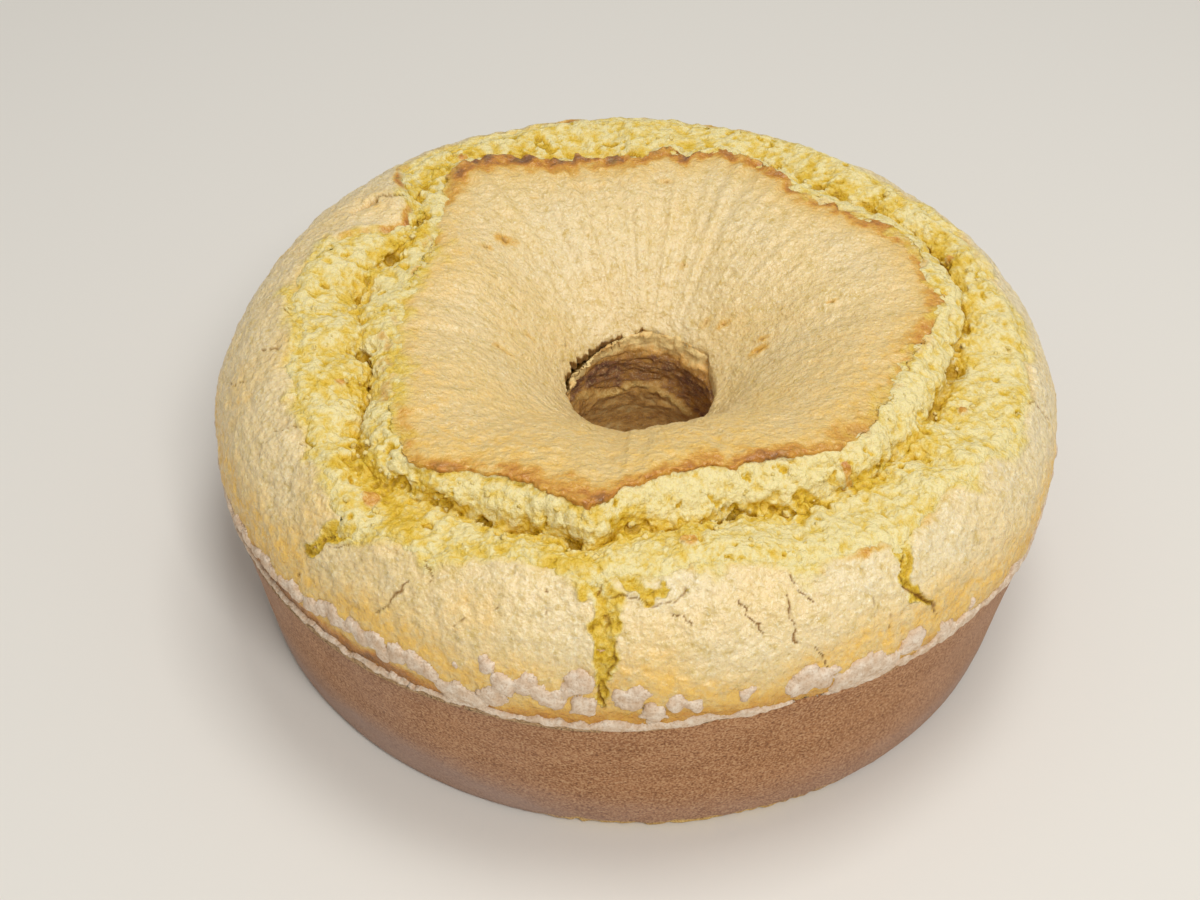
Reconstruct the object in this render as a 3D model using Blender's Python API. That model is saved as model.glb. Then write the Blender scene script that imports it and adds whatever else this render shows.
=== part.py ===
"""A corn cake baked in a ring pan: one solid with a funnel-shaped hole through its middle.

The cake stands as it was baked, on its flat base, with its torn top up. Metres, +Z up.
The origin is on the cake's axis, in the plane of the base.
"""

from math import acos, cos, pi, radians, sin, sqrt

import bmesh
import bpy
import numpy as np

MM = 0.001

# Pan side, in mm: the cake widens from its base up to the rim of flour and dried batter.
BASE_RADIUS = 102.5
BASE_EDGE_ROUND = 3.0
RIM_RADIUS = 110.0
RIM_HEIGHT = 45.0
RIM_LEDGE = 0.8
RIM_LEDGE_THICKNESS = 2.0

# Hole left by the pan's tube, which narrows upwards, and the lip where the funnel starts.
HOLE_BASE_RADIUS = 26.0
HOLE_LIP_RADIUS = 20.0
HOLE_LIP_HEIGHT = 55.0
HOLE_OFFSET_X = 1.5
HOLE_EDGE_ROUND = 2.0
FUNNEL_STEEPNESS = 2.0

# Risen dome outside the tear: an ellipse about a centre in the section plane.
DOME_CENTRE_RADIUS = 80.0
DOME_CENTRE_HEIGHT = 52.0
DOME_REACH = RIM_RADIUS - DOME_CENTRE_RADIUS
DOME_RISE = 31.0

# The tear runs all the way round. Each line is (degrees from +X, mm).
ISLAND_EDGE_RADIUS = (
    (5, 81), (29, 81), (42, 74), (52, 71), (66, 78), (79, 73), (92, 68), (108, 70),
    (120, 79), (130, 78), (143, 70), (157, 64), (195, 65), (215, 71), (232, 81), (246, 76),
    (256, 76), (264, 81), (272, 72), (288, 66), (311, 71), (345, 71),
)
ISLAND_EDGE_HEIGHT = (
    (0, 81), (60, 81.5), (90, 81), (135, 81.5), (180, 81), (225, 84), (255, 86), (270, 87),
    (290, 86), (330, 83),
)
CREVICE_RADIUS = (
    (5, 87), (30, 87), (50, 79), (68, 84), (90, 75), (108, 77), (125, 85), (150, 77),
    (183, 72), (200, 72), (215, 78), (232, 85), (246, 79), (265, 82), (274, 74), (290, 70),
    (305, 72), (336, 76),
)
CREVICE_HEIGHT = (
    (0, 75), (60, 74), (125, 75), (146, 80), (165, 76), (205, 75), (228, 74), (245, 69),
    (290, 68), (320, 71),
)
CRUST_EDGE_RADIUS = (
    (0, 95), (11, 98), (28, 94), (39, 91), (60, 94), (97, 93), (120, 90), (142, 95),
    (160, 85), (180, 88), (194, 84), (212, 86), (222, 91), (230, 98), (240, 95), (262, 91),
    (279, 88), (292, 93), (308, 97), (320, 93), (341, 94),
)

# Cracks that split the dome from the tear towards the rim: (degrees, width and depth in mm).
DOME_CRACKS = ((227.0, 4.0, 3.5), (266.5, 6.0, 5.0), (308.0, 5.0, 4.0))

COLUMN_STEP_DEGREES = 4
FUNNEL_STEPS = 7
WALL_STEPS = 3
SLOPE_STEPS = 4
DOME_STEPS = 8
SIDE_STEPS = 3
ROUND_STEPS = 2

CAKE_COLOUR = (0.76, 0.58, 0.30, 1.0)
CAKE_ROUGHNESS = 0.75


def around(knots, degrees):
    """A value that is given at some angles, read at any angle round the cake."""
    angles, values = zip(*knots)
    return float(np.interp(degrees, angles, values, period=360))


def hole_points():
    """The hole's wall from the base up to the lip, as (radius, height)."""
    mouth = HOLE_BASE_RADIUS + HOLE_EDGE_ROUND
    rounded = [
        (mouth - HOLE_EDGE_ROUND * sin(pi / 2 * i / ROUND_STEPS),
         HOLE_EDGE_ROUND * (1 - cos(pi / 2 * i / ROUND_STEPS)))
        for i in range(ROUND_STEPS + 1)
    ]
    wall = [
        (HOLE_BASE_RADIUS + (HOLE_LIP_RADIUS - HOLE_BASE_RADIUS) * i / WALL_STEPS,
         HOLE_EDGE_ROUND + (HOLE_LIP_HEIGHT - HOLE_EDGE_ROUND) * i / WALL_STEPS)
        for i in range(1, WALL_STEPS + 1)
    ]
    return rounded + wall


def funnel_points(edge_radius, edge_height):
    """The smooth top from the hole's lip out to the island's torn edge: steep, then level."""
    points = []
    for i in range(1, FUNNEL_STEPS + 1):
        share = (i / FUNNEL_STEPS) ** 1.3
        rise = 1 - (1 - share) ** FUNNEL_STEEPNESS
        points.append((
            HOLE_LIP_RADIUS + (edge_radius - HOLE_LIP_RADIUS) * share,
            HOLE_LIP_HEIGHT + (edge_height - HOLE_LIP_HEIGHT) * rise,
        ))
    return points


def tear_points(island, crevice, crust):
    """The torn crumb: a steep wall under the island's edge, the crevice, a rounded slope."""
    points = []
    for i in range(1, WALL_STEPS + 1):
        share = i / WALL_STEPS
        points.append((
            island[0] + (crevice[0] - island[0]) * share ** 1.5,
            island[1] + (crevice[1] - island[1]) * share,
        ))
    for i in range(1, SLOPE_STEPS):
        share = i / SLOPE_STEPS
        points.append((
            crevice[0] + (crust[0] - crevice[0]) * share,
            crevice[1] + (crust[1] - crevice[1]) * sin(pi / 2 * share),
        ))
    return points


def dome_height(radius):
    """The dome's height at a radius outside its centre line."""
    share = (radius - DOME_CENTRE_RADIUS) / DOME_REACH
    return DOME_CENTRE_HEIGHT + DOME_RISE * sqrt(1 - share * share)


def crack_depth(degrees):
    """How deep a crack cuts the dome at this angle."""
    depths = [0.0]
    for centre, width, depth in DOME_CRACKS:
        offset = abs(degrees - centre) * pi / 180 * RIM_RADIUS
        depths.append(depth * max(0.0, 1 - offset / (width / 2)))
    return max(depths)


def dome_points(degrees, edge_radius):
    """The dome's crust from the torn edge over to the bulge above the rim."""
    start = acos((edge_radius - DOME_CENTRE_RADIUS) / DOME_REACH)
    cut = crack_depth(degrees)
    points = []
    for i in range(DOME_STEPS + 1):
        share = i / DOME_STEPS
        angle = start * (1 - share)
        kept = 1 - cut * (1 - share) / DOME_REACH
        points.append((
            DOME_CENTRE_RADIUS + DOME_REACH * cos(angle) * kept,
            DOME_CENTRE_HEIGHT + DOME_RISE * sin(angle) * kept,
        ))
    return points


def side_points():
    """The rim's ledge, the pan side below it and the rounded edge of the base."""
    ledge = [
        (RIM_RADIUS - RIM_LEDGE / 2, RIM_HEIGHT + RIM_LEDGE_THICKNESS),
        (RIM_RADIUS + RIM_LEDGE, RIM_HEIGHT + RIM_LEDGE_THICKNESS / 2),
        (RIM_RADIUS + RIM_LEDGE, RIM_HEIGHT),
        (RIM_RADIUS - RIM_LEDGE, RIM_HEIGHT - RIM_LEDGE),
    ]
    top = ledge[-1]
    foot = (BASE_RADIUS, BASE_EDGE_ROUND)
    side = [
        (top[0] + (foot[0] - top[0]) * i / SIDE_STEPS, top[1] + (foot[1] - top[1]) * i / SIDE_STEPS)
        for i in range(1, SIDE_STEPS + 1)
    ]
    rounded = [
        (BASE_RADIUS - BASE_EDGE_ROUND * (1 - cos(pi / 2 * i / ROUND_STEPS)),
         BASE_EDGE_ROUND * (1 - sin(pi / 2 * i / ROUND_STEPS)))
        for i in range(1, ROUND_STEPS + 1)
    ]
    return ledge + side + rounded


def section(degrees):
    """The cake's closed section at one angle, as (radius, height) in mm."""
    island = around(ISLAND_EDGE_RADIUS, degrees), around(ISLAND_EDGE_HEIGHT, degrees)
    crevice = around(CREVICE_RADIUS, degrees), around(CREVICE_HEIGHT, degrees)
    edge_radius = around(CRUST_EDGE_RADIUS, degrees)
    crust = edge_radius, dome_height(edge_radius)
    return (
        hole_points()
        + funnel_points(*island)
        + tear_points(island, crevice, crust)
        + dome_points(degrees, edge_radius)
        + side_points()
    )


def column_angles():
    """Even steps round the cake, with three more columns at each crack in place of those."""
    cracks = []
    for centre, width, _ in DOME_CRACKS:
        half = width / 2 / RIM_RADIUS * 180 / pi
        cracks += [centre - half, centre, centre + half]
    clear = 0.9
    even = [
        float(angle) for angle in range(0, 360, COLUMN_STEP_DEGREES)
        if all(abs(angle - crack) > clear for crack in cracks)
    ]
    return sorted(even + cracks)


def place(degrees, radius, height):
    """A section point in space. The hole's axis stands a little beside the cake's."""
    beyond_lip = max(0.0, radius - HOLE_BASE_RADIUS) / (DOME_CENTRE_RADIUS - HOLE_BASE_RADIUS)
    shift = HOLE_OFFSET_X * max(0.0, 1 - beyond_lip)
    angle = radians(degrees)
    return (
        (shift + radius * cos(angle)) * MM,
        radius * sin(angle) * MM,
        height * MM,
    )


def cake_mesh():
    """Sections bridged all the way round into one closed skin."""
    mesh = bmesh.new()
    columns = [
        [mesh.verts.new(place(angle, *point)) for point in section(angle)]
        for angle in column_angles()
    ]
    for here, after in zip(columns, columns[1:] + columns[:1]):
        for i, low in enumerate(here):
            j = (i + 1) % len(here)
            mesh.faces.new((low, here[j], after[j], after[i]))
    bmesh.ops.recalc_face_normals(mesh, faces=mesh.faces)
    bmesh.ops.triangulate(mesh, faces=mesh.faces)
    return mesh


def cake_material():
    material = bpy.data.materials.new("baked_corn_cake")
    material.use_nodes = True
    shader = material.node_tree.nodes["Principled BSDF"]
    shader.inputs["Base Color"].default_value = CAKE_COLOUR
    shader.inputs["Roughness"].default_value = CAKE_ROUGHNESS
    shader.inputs["Metallic"].default_value = 0.0
    return material


def build():
    for old in list(bpy.data.objects):
        bpy.data.objects.remove(old)
    data = bpy.data.meshes.new("cake")
    mesh = cake_mesh()
    mesh.to_mesh(data)
    mesh.free()
    data.materials.append(cake_material())
    data.shade_smooth()
    data.set_sharp_from_angle(angle=radians(40))
    cake = bpy.data.objects.new("cake", data)
    bpy.context.scene.collection.objects.link(cake)


build()
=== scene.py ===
"""A whole corn cake from a ring pan: floury pan side, torn crumb and two pale crusts."""

import itertools
from math import pi, radians

import bpy
import numpy as np
from mathutils import Matrix, Vector


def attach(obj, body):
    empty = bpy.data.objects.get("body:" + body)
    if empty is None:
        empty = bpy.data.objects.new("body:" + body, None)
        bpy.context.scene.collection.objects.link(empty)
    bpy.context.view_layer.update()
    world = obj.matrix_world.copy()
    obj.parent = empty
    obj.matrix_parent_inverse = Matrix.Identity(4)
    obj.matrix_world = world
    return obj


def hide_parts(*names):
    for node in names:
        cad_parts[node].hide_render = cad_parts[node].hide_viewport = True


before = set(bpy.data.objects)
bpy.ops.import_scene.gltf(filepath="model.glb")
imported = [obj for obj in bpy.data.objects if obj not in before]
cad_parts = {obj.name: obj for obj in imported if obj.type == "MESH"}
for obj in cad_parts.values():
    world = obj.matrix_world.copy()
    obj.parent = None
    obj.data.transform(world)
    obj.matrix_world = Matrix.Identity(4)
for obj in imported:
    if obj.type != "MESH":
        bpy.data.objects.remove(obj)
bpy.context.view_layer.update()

MM = 0.001


# The baked body: the pan's tapered side, the flat base and the wall of the hole.
# It is set batter browned against greased and floured metal, so it keeps the pan's smooth
# shape under a dry skin of flour. At the top of the hole its skin tore away from the crust.

BODY_COLUMNS = 600
BASE_RADIUS = 102.5
BASE_ROUNDING = 3.0
RIM_RADIUS = 110.0
RIM_HEIGHT = 45.0
# The hole stands a little to +X of the cake's axis, and the outside round the axis itself.
HOLE_SHIFT = 1.5
SHIFT_END = 80.0
SHIFT_SPAN = 54.0
NECK_RADIUS = 18.8
NECK_HEIGHT = 50.0
# The rim's line is not quite level, as (degrees from +X, mm above its mean).
RIM_RISE = (
    (0, 1.5), (60, 0), (190, 0.5), (209, 0.8), (222, -0.5), (236, -1.5), (248, -0.2), (266, -0.2),
    (276, 1.6), (285, 3.4), (293, 3.4), (302, 2.2), (316, 3), (332, 2.6),
)

# The tear behind the hole, as (degrees from +X, mm): where it runs, and how far it gapes.
HOLE_TEAR_RADIUS = (
    (0, 20.4), (20, 21), (35, 21.8), (46, 21.4), (68, 21), (81, 22), (100, 21.4), (130, 20.6),
    (157, 20.4), (185, 19.8), (200, 20.5), (230, 21), (330, 21),
)
HOLE_TEAR_GAP = (
    (10, -1.2), (38, -1.2), (44, 0.3), (50, -0.6), (64, -0.8), (70, 0.6), (75, 0.4), (81, -0.5),
    (88, 1.2), (100, 0.9), (108, 1.9), (128, 2.6), (140, 3.4), (152, 3.4), (165, 1.5), (176, 2.2),
    (188, 0.5), (196, -0.6), (210, -1.2), (330, -1.2),
)
HOLE_TEAR_HEIGHT = (
    (10, 50), (38, 55.5), (60, 56.8), (85, 57.5), (110, 56.5), (150, 55.4), (188, 54), (204, 50),
    (270, 49), (350, 49),
)
# The lower edge of the torn band of crust that hangs in the hole, as (degrees, mm).
LEDGE_HEIGHT = (
    (20, 30), (55, 33), (75, 37.5), (95, 39), (112, 37), (140, 41), (170, 40), (300, 36),
)


def columns(count):
    """Angles round the cake in degrees, closer together at the front, where the cracks are."""
    turn = np.arange(count) / count
    return 360 * turn + 24 * np.sin(2 * pi * (turn - 0.25))


def ring(knots, degrees, rounding=3.0):
    """A size known at a few angles, read at any angle with its corners rounded over."""
    angles, sizes = zip(*knots)
    steps = np.linspace(-rounding, rounding, 7)
    return np.mean([np.interp(degrees + step, angles, sizes, period=360) for step in steps], axis=0)


def run(start, end, count):
    """Section points from one (radius, height) up to the next, at each angle or at all."""
    share = np.arange(count) / count
    return tuple(
        np.multiply.outer(np.atleast_1d(a), 1 - share) + np.multiply.outer(np.atleast_1d(b), share)
        for a, b in zip(start, end)
    )


def runs(*stops):
    """Runs through a point, the rows to the next point, that point, and so on to the last."""
    return [run(stops[i], stops[i + 2], stops[i + 1]) for i in range(0, len(stops) - 2, 2)]


def shift_at(radius):
    """How far towards +X the hole carries what lies at this radius, in mm."""
    return HOLE_SHIFT * np.clip((SHIFT_END - radius) / SHIFT_SPAN, 0, 1)


def skin_of(degrees, parts):
    """The runs joined into one closed section at each angle and set round the cake, in mm."""
    radius, height = (
        np.concatenate(
            [np.broadcast_to(part[i], (len(degrees), part[i].shape[1])) for part in parts], 1
        )
        for i in (0, 1)
    )
    angle = np.radians(degrees)[:, None]
    return np.stack([shift_at(radius) + radius * np.cos(angle), radius * np.sin(angle), height], -1)


def rows_of(parts):
    """Where each run starts and ends in the joined section."""
    ends = np.cumsum([part[0].shape[1] for part in parts])
    return [slice(end - part[0].shape[1], end) for end, part in zip(ends, parts)]


def level(skin, value=0.0):
    """The same number at every point of a skin."""
    return np.full(skin.shape[:2], value)


def rounded(skin, passes):
    """The skin with the corners of its section worn down."""
    for _ in range(passes):
        skin = (np.roll(skin, 1, 1) + 2 * skin + np.roll(skin, -1, 1)) / 4
    return skin


def outward(skin):
    """The direction that each point of a skin faces."""
    along = np.roll(skin, -1, 0) - np.roll(skin, 1, 0)
    across = np.roll(skin, -1, 1) - np.roll(skin, 1, 1)
    facing = np.cross(along, across)
    return facing / np.maximum(np.linalg.norm(facing, axis=-1, keepdims=True), 1e-9)


def raised(skin, lift):
    """The skin moved outwards by 'lift' mm."""
    return skin + outward(skin) * lift[..., None]


def scatter(cell, seed):
    """A number from 0 to 1 for each whole-numbered place, the same on every run."""
    x, y, z = (cell[..., i].astype(np.uint64) for i in range(3))
    mixed = x * np.uint64(73856093) ^ y * np.uint64(19349663) ^ z * np.uint64(83492791)
    mixed ^= np.uint64(seed * 2654435761 % 2 ** 32)
    mixed = (mixed ^ (mixed >> np.uint64(13))) * np.uint64(1274126177)
    mixed = (mixed ^ (mixed >> np.uint64(16))) * np.uint64(2246822519)
    return ((mixed >> np.uint64(8)) & np.uint64(0xFFFF)) / 65535.0


def swell(points, size, seed):
    """Smooth unevenness from -1 to 1, whose hills are about 'size' mm apart."""
    scaled = points / size + seed * 7.31
    cell = np.floor(scaled)
    part = scaled - cell
    part = part * part * (3 - 2 * part)
    cell = cell.astype(np.int64)
    total = 0.0
    for corner in itertools.product((0, 1), repeat=3):
        weight = np.prod(np.where(corner, part, 1 - part), axis=-1)
        total = total + weight * scatter(cell + np.array(corner), seed)
    return total * 2 - 1


def grains(points, size, seed):
    """Packed grains 'size' mm across: 1 on top of a grain, falling to 0 between grains."""
    scaled = points / size + seed * 3.17
    base = np.floor(scaled).astype(np.int64)
    nearest = np.full(points.shape[:-1], 9.0)
    for step in itertools.product((-1, 0, 1), repeat=3):
        cell = base + np.array(step)
        middle = cell + np.stack([scatter(cell, seed + 11 * i) for i in (1, 2, 3)], -1)
        nearest = np.minimum(nearest, np.sum((scaled - middle) ** 2, axis=-1))
    return np.clip(1 - nearest, 0, 1)


def ease(value, low, high):
    """0 below 'low', 1 above 'high' and smooth between, or turned round if high is lower."""
    share = np.clip((value - low) / (high - low), 0, 1)
    return share * share * (3 - 2 * share)


def shell(name, skin, marks, material):
    """A closed ring-shaped piece: a grid wrapped round the skin and merged along its seams."""
    bpy.ops.object.select_all(action="DESELECT")
    bpy.ops.mesh.primitive_grid_add(
        x_subdivisions=skin.shape[0], y_subdivisions=skin.shape[1], calc_uvs=False
    )
    piece = bpy.context.object
    piece.name = piece.data.name = name
    wrapped = np.pad(skin, ((0, 1), (0, 1), (0, 0)), mode="wrap")
    piece.data.vertices.foreach_set("co", (wrapped * MM).swapaxes(0, 1).ravel())
    for mark, amount in marks.items():
        layer = piece.data.attributes.new(mark, "FLOAT", "POINT")
        amount = np.pad(np.clip(amount, 0, 1), ((0, 1), (0, 1)), mode="wrap")
        layer.data.foreach_set("value", amount.swapaxes(0, 1).astype(np.float32).ravel())
    bpy.ops.object.mode_set(mode="EDIT")
    bpy.ops.mesh.select_all(action="SELECT")
    bpy.ops.mesh.remove_doubles(threshold=0.001 * MM)
    bpy.ops.object.mode_set(mode="OBJECT")
    bpy.ops.object.shade_smooth()
    piece.data.materials.append(material)
    return piece


def srgb(*levels):
    """A colour given as 0 to 255 on a screen, as the shader wants it."""
    shares = (level / 255 for level in levels)
    return (*(s / 12.92 if s <= 0.04045 else ((s + 0.055) / 1.055) ** 2.4 for s in shares), 1.0)


class Paint:
    """A socket in a material. Sums and products of these add the Math nodes they need."""

    def __init__(self, tree, socket=None):
        self.tree = tree
        self.socket = socket

    def node(self, kind, settings, inputs, output=0):
        made = self.tree.nodes.new("ShaderNode" + kind)
        for name, setting in settings.items():
            if name == "stops":
                self.stops(made.color_ramp.elements, setting)
            else:
                setattr(made, name, setting)
        for name, value in inputs.items():
            if isinstance(value, Paint):
                self.tree.links.new(value.socket, made.inputs[name])
            else:
                made.inputs[name].default_value = value
        return Paint(self.tree, made.outputs[output])

    @staticmethod
    def stops(elements, places):
        while len(elements) < len(places):
            elements.new(1.0)
        for element, (position, levels) in zip(elements, places):
            element.position, element.color = position, srgb(*levels)

    def math(self, operation, first, second=0.0, clamped=False):
        return self.node(
            "Math", {"operation": operation, "use_clamp": clamped}, {0: first, 1: second}
        )

    def __add__(self, other):
        return self.math("ADD", self, other)

    __radd__ = __add__

    def __sub__(self, other):
        return self.math("SUBTRACT", self, other)

    def __rsub__(self, other):
        return self.math("SUBTRACT", other, self)

    def __mul__(self, other):
        return self.math("MULTIPLY", self, other)

    __rmul__ = __mul__

    def clamp(self):
        return self.math("ADD", self, clamped=True)

    def over(self, low, high):
        """0 below 'low' and 1 above 'high'."""
        return ((self - low) * (1 / (high - low))).clamp()

    def ramp(self, share, *stops):
        """The colour at a share of the way along stops, each (position, screen colour)."""
        return self.node("ValToRGB", {"stops": stops}, {"Fac": share})

    def mark(self, name):
        return self.node("Attribute", {"attribute_name": name}, {}, "Fac")

    def noise(self, size, detail=3.0, seed=0.0, stretch=(1.0, 1.0, 1.0)):
        """Soft blotches 'size' mm across, from 0 to 1."""
        place = self.node("TexCoord", {}, {}, "Object")
        spot = self.node("Mapping", {}, {
            "Vector": place, "Location": (seed,) * 3, "Scale": stretch,
        })
        return self.node(
            "TexNoise", {}, {"Vector": spot, "Scale": 1 / (size * MM), "Detail": detail}
        )

    def mix(self, share, first, second):
        return self.node("Mix", {"data_type": "RGBA"}, {0: share, 6: first, 7: second}, 2)


def finish_of(name, colour_of, settings):
    """A Principled material. colour_of feeds its colour, roughness and surface height."""
    material = bpy.data.materials.new(name)
    material.use_nodes = True
    shader = material.node_tree.nodes["Principled BSDF"]
    paint = Paint(material.node_tree)
    colour, roughness, height, depth = colour_of(paint)
    bump = paint.node(
        "Bump", {}, {"Height": height, "Strength": 1.0, "Distance": depth * MM}
    )
    for socket, source in (("Base Color", colour), ("Roughness", roughness), ("Normal", bump)):
        material.node_tree.links.new(source.socket, shader.inputs[socket])
    for socket, value in settings.items():
        shader.inputs[socket].default_value = value
    return material


def pan_crust(paint):
    """Brown baked skin with sandy grain, under flour that went grey-pink in the oven."""
    patches = paint.noise(14, 4, 3.0, (1, 1, 2.2))
    sand = paint.noise(0.6, 3, 8.0)
    streaks = paint.noise(5, 3, 1.0, (1, 1, 5))
    clods = paint.noise(2.4, 4, 7.0)
    brown = paint.mix(patches.over(0.35, 0.65), srgb(163, 110, 66), srgb(179, 125, 80))
    brown = paint.mix(sand.over(0.48, 0.70) * 0.85, brown, srgb(216, 172, 124))
    brown = paint.mix(sand.over(0.48, 0.30) * 0.85, brown, srgb(104, 64, 38))
    brown = paint.mix(streaks.over(0.55, 0.75) * 0.3, brown, srgb(140, 94, 66))
    dusty = (paint.mark("flour") * (0.5 + patches) + (sand - 0.5) * 0.5).clamp()
    dusted = paint.mix(dusty * 0.75, brown, srgb(170, 148, 138))
    baked = paint.mark("toast") + (streaks - 0.5) * 0.3 + (clods - 0.5) * 1.1 + (sand - 0.5) * 0.6
    toast = paint.ramp(
        baked.clamp(),
        (0.0, (232, 204, 140)), (0.3, (220, 172, 96)), (0.55, (188, 138, 70)),
        (0.8, (158, 114, 82)), (1.0, (118, 82, 64)),
    )
    hole = paint.mix(sand.over(0.52, 0.68) * 0.6, toast, srgb(236, 200, 142))
    walled = paint.mix(paint.mark("hole"), dusted, hole)
    crumb = paint.mix(sand.over(0.35, 0.65), srgb(196, 148, 66), srgb(240, 208, 132))
    colour = paint.mix((paint.mark("crumb") * 1.6 + sand - 0.9).clamp(), walled, crumb)
    # Painted shade: dark brown where the gap mark is set.
    colour = paint.mix(paint.mark("gap"), colour, srgb(96, 66, 14))
    roughness = 0.62 + 0.25 * dusty - 0.2 * paint.mark("hole")
    height = sand + paint.noise(2.5, 2, 5.0, (1, 1, 2)) * 0.6 + paint.mark("hole") * clods * 4.0
    return colour, roughness, height, 0.24


degrees = columns(BODY_COLUMNS)
tear_radius = ring(HOLE_TEAR_RADIUS, degrees)
tear_gap = ring(HOLE_TEAR_GAP, degrees)
tear_height = ring(HOLE_TEAR_HEIGHT, degrees)
zigzag = np.stack([degrees / 7, degrees, degrees], -1)
flap_radius = tear_radius - tear_gap + 0.5 * swell(zigzag, 4, 14) + 0.4 * swell(zigzag, 1.5, 30)
rim_height = RIM_HEIGHT + ring(RIM_RISE, degrees, 6)
foot = BASE_RADIUS, BASE_ROUNDING
parts = runs(
    foot, 58,
    (RIM_RADIUS - 0.6, rim_height - 0.4), 3,
    (RIM_RADIUS - 2.0, rim_height + 1.5), 3,
    # Inside the cake, hidden under the crusts.
    (60, 46), 3,
    (27, 48), 4,
    # Over the torn flap and down the wall of the hole.
    (flap_radius + 1.2, tear_height - 1.5), 3,
    (flap_radius, tear_height), 12,
    (NECK_RADIUS, NECK_HEIGHT - 1), 14,
    (20.6, 42), 11,
    (21.8, 35), 13,
    (24.3, 25), 20,
    (26.3, 2), 3,
    # Along the base and round its edge.
    (28.3, 0), 10,
    (BASE_RADIUS - 2, 0), 2,
    (BASE_RADIUS - 0.5, 0.9), 2,
    foot,
)
skin = rounded(skin_of(degrees, parts), 2)
rows = rows_of(parts)
height = skin[..., 2]
radius = np.linalg.norm(skin[..., :2], axis=-1)
in_hole = ease(radius, 34, 29) * ease(height, -1, 1)
ledge = height - ring(LEDGE_HEIGHT, degrees)[:, None]
ledge = ledge - swell(skin, 5, 4) * 1.2 - swell(skin, 1.8, 5) * 0.6
band = in_hole * ease(ledge, 0.0, 1.5) * ease(height, NECK_HEIGHT + 3.5, NECK_HEIGHT - 1.5)
squeezed = skin * (1, 1, 4)
lift = 0.10 * swell(skin * (1, 1, 2), 9, 1) + 0.05 * swell(skin, 2.2, 2)
lift = lift * ease(height, -0.3, 3)
lift += in_hole * (0.7 * swell(squeezed, 7, 6) + 0.6 * swell(squeezed, 3, 7)) * ease(height, 24, 36)
lift += in_hole * (0.5 * swell(skin, 2.8, 29) + 0.4 * swell(skin, 1.5, 15)) * ease(height, 24, 34)
lift += in_hole * ease(height, 2, 8) * (0.9 * ease(ledge, 0.3, -0.3) * ease(ledge, -14, -1))
lift -= band * 0.7
low_right = ring(((252, 0), (268, 1), (292, 1), (305, 0.2), (320, 0)), degrees)[:, None]
broken = low_right * ease(height + swell(skin, 4, 9) * 1.2, 3.0, 1.6) * ease(height, 0.2, 0.6)
lift += broken * 0.5 * swell(skin, 1.6, 10)
left = ring(((150, 0.6), (205, 1.1), (240, 0.95), (262, 0.2), (300, 0.25), (340, 0.6)), degrees)
dusting = 0.45 + 0.55 * ease(height, 24, 2) + 0.35 * swell(skin, 26, 12)
flour = (1 - in_hole) * left[:, None] * dusting
flour += (1 - in_hole) * ease(height, 16, 4) * 0.25
dusty_foot = ring(((215, 0), (235, 1), (262, 0.7), (275, 0)), degrees)[:, None]
flour += (1 - in_hole) * dusty_foot * ease(height + 5 * swell(skin, 14, 17), 18, 6) * 0.35
near_ledge = in_hole * ease(np.abs(ledge + 0.6), 2.4, 0.2) * ease(height, 20, 26)
flap_gold = in_hole * ease(height, NECK_HEIGHT - 1, NECK_HEIGHT + 4)
# The gap mark is painted shade: the hidden top of the body and the gap under the torn flap,
# coloured dark brown.
gap = level(skin)
gap[:, rows[3].start:rows[5].start + 1] = 1
marks = {
    "hole": in_hole,
    "flour": flour,
    "crumb": np.maximum(broken, near_ledge * (0.65 + 0.4 * swell(skin, 4, 16))),
    "toast": 0.32 + 0.44 * band + 0.2 * swell(skin * (1, 1, 2), 8, 13) - 0.28 * flap_gold,
    "gap": gap,
}
floured = finish_of("floured_pan_crust", pan_crust, {"Specular IOR Level": 0.25})
body = shell("cake_body", raised(skin, lift), marks, floured)
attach(body, "root")
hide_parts("cake")


# The torn crumb: the open inside of the cake between the two crusts, all the way round.
# As the middle sank and the ring went on rising, the set top tore. What shows is moist, knobby
# maize crumb, pale on its lumps and yellow in the crevice, deepened there and in its hollows by
# painted shade.

CRUMB_COLUMNS = 1000
SLOPE_ROWS = 44
WALL_ROWS = 30
WALL_BULGE = 2.4
BRINK_INSET = 0.2
# Stands for the distance of all that is not near the crevice or the edge, in mm.
FAR = 20.0
# The risen dome: an ellipse about a centre in the section plane.
DOME_CENTRE_RADIUS = 80.0
DOME_CENTRE_HEIGHT = 52.0
DOME_REACH = 30.0
DOME_RISE = 31.0
ISLAND_EDGE_RADIUS = (
    (5, 81), (16, 80), (29, 81), (35, 77), (42, 74), (52, 72), (62, 77), (69, 80), (74, 80),
    (79, 75), (82.2, 73.5), (82.6, 78.5), (86.4, 78), (86.8, 72), (90, 70), (99, 71), (108, 72),
    (114, 75), (119, 80), (128, 81), (136, 77), (141, 73), (149, 66), (155, 62.5), (166, 61.5),
    (177, 63), (194, 65), (205, 67), (213, 71), (221, 77), (231, 82), (238, 79), (244, 75),
    (252, 74), (258, 77), (264, 80), (269, 73), (275, 68), (284, 66), (294, 67), (304, 70),
    (313, 73), (322, 73), (329, 71), (348, 72), (354, 74), (359, 77),
)
ISLAND_EDGE_HEIGHT = (
    (0, 81.5), (45, 81.5), (70, 81.5), (90, 81), (122, 81.5), (150, 81.5), (190, 81.5), (225, 84),
    (245, 85), (264, 87), (285, 86), (315, 84), (340, 82.5),
)
CREVICE_RADIUS = (
    (0, 83), (10, 86), (28, 87), (50, 78), (68, 84), (90, 76), (108, 77), (126, 87), (136, 84),
    (143, 76.5), (148, 70.5), (153, 67.5), (158, 69), (165, 73), (175, 73), (196, 70), (207, 73),
    (215, 80), (222, 86), (228, 86), (238, 81.5), (249, 81.5), (258, 82.5), (264, 84), (269, 78.5),
    (281, 76), (295, 75), (305, 76), (311, 79), (336, 79), (347, 81),
)
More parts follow.
